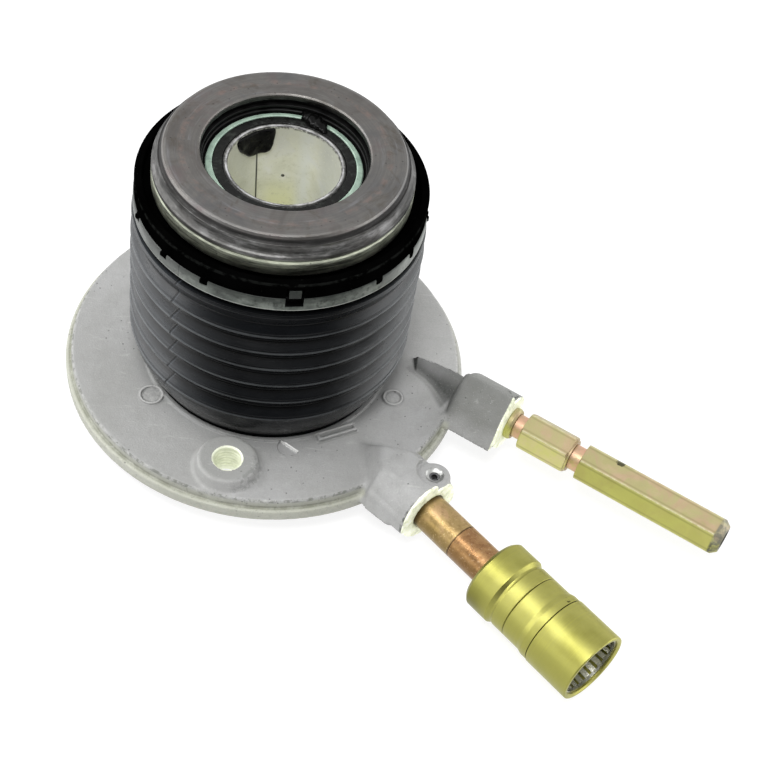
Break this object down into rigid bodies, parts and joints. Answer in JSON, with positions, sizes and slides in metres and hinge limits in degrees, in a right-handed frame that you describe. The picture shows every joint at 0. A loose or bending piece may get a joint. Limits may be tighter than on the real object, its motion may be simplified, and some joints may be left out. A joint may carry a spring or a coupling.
{
  "type": "concentric clutch slave cylinder",
  "caption": "Concentric hydraulic clutch release unit: flanged casting, ribbed boot over a sliding ring piston, thrust bearing on top, hex bleed screw and gold quick-connect inlet.",
  "frame": {"origin": "bore axis at the flange's underside, which seats on the gearbox front face", "axes": "+Z along the bore towards the bearing face; +X to the picture's right, on the side of the two ports; -Y towards the camera"},
  "size_m": [0.2023, 0.1745, 0.0957],
  "materials": {
    "cast_aluminium": "as cast, fine grain",
    "boot_rubber": "moulded, slight sheen",
    "carrier_plastic": "moulded",
    "bearing_steel": "turned, oiled",
    "ball_steel": "polished",
    "seal_rubber": "moulded",
    "retainer_green": "coated",
    "guide_tube_steel": "ground",
    "piston_grey": "turned",
    "spring_steel": "plain",
    "tube_bronze": "drawn",
    "stem_copper": "drawn",
    "coupling_gold": "anodised, turned",
    "zinc_yellow": "yellow passivated zinc",
    "clip_steel": "plain",
    "valve_brass": "turned"
  },
  "bodies": {
    "housing_body": {"housing": "cast_aluminium", "guide_tube": "guide_tube_steel", "guide_tube_o_ring": "seal_rubber", "inlet_tube": "tube_bronze", "inlet_o_ring": "seal_rubber", "inlet_roll_pin": "spring_steel", "coupling_stem": "stem_copper", "coupling_body": "coupling_gold", "coupling_clip": "clip_steel", "coupling_seal": "seal_rubber", "coupling_valve_guide": "valve_brass", "coupling_valve_spring": "clip_steel", "bleed_adapter_collar": "zinc_yellow", "bleed_adapter": "zinc_yellow", "preload_spring": "spring_steel", "dust_boot": "boot_rubber"},
    "release_carriage": {"piston": "piston_grey", "piston_seal": "seal_rubber", "bearing_carrier": "carrier_plastic", "bearing_inner_ring": "bearing_steel", "disc_spring": "spring_steel", "retaining_ring": "retainer_green", "retainer_key": "carrier_plastic"},
    "bearing_outer": {"bearing_outer_ring": "bearing_steel", "bearing_seal": "seal_rubber", "bearing_shield": "bearing_steel"},
    "bearing_cage_set": {"bearing_balls": "ball_steel", "bearing_cage": "clip_steel"},
    "bleed_screw_body": {"bleed_screw": "zinc_yellow", "bleed_screw_o_ring": "seal_rubber"},
    "coupling_valve_body": {"coupling_valve": "valve_brass"}
  },
  "joints": [
    {"name": "release_slide", "type": "slide", "parent": "housing_body", "child": "release_carriage", "axis": [0, 0, 1], "range_m": [-0.018, 0], "stiffness_N_per_m": 2000, "springref_m": 0.02, "deforming": ["preload_spring", "dust_boot"]},
    {"name": "bearing_spin", "type": "hinge", "parent": "release_carriage", "child": "bearing_outer", "pos_m": [0, 0, 0.0805], "axis": [0, 0, 1], "continuous": true},
    {"name": "cage_orbit", "type": "hinge", "parent": "release_carriage", "child": "bearing_cage_set", "pos_m": [0, 0, 0.0805], "axis": [0, 0, 1], "continuous": true},
    {"name": "bleed_screw_turn", "type": "hinge", "parent": "housing_body", "child": "bleed_screw_body", "pos_m": [0.11403, -0.04304, 0.006], "axis": [0.8592, -0.5116, 0], "range_deg": [0, 360]},
    {"name": "coupling_valve_open", "type": "slide", "parent": "housing_body", "child": "coupling_valve_body", "axis": [0.6874, -0.7263, 0], "range_m": [-0.004, 0], "stiffness_N_per_m": 300, "springref_m": 0.004, "deforming": ["coupling_valve_spring"]}
  ],
  "couplings": [
    {"joint": "cage_orbit", "follows": "bearing_spin", "ratio": 0.5428}
  ]
}
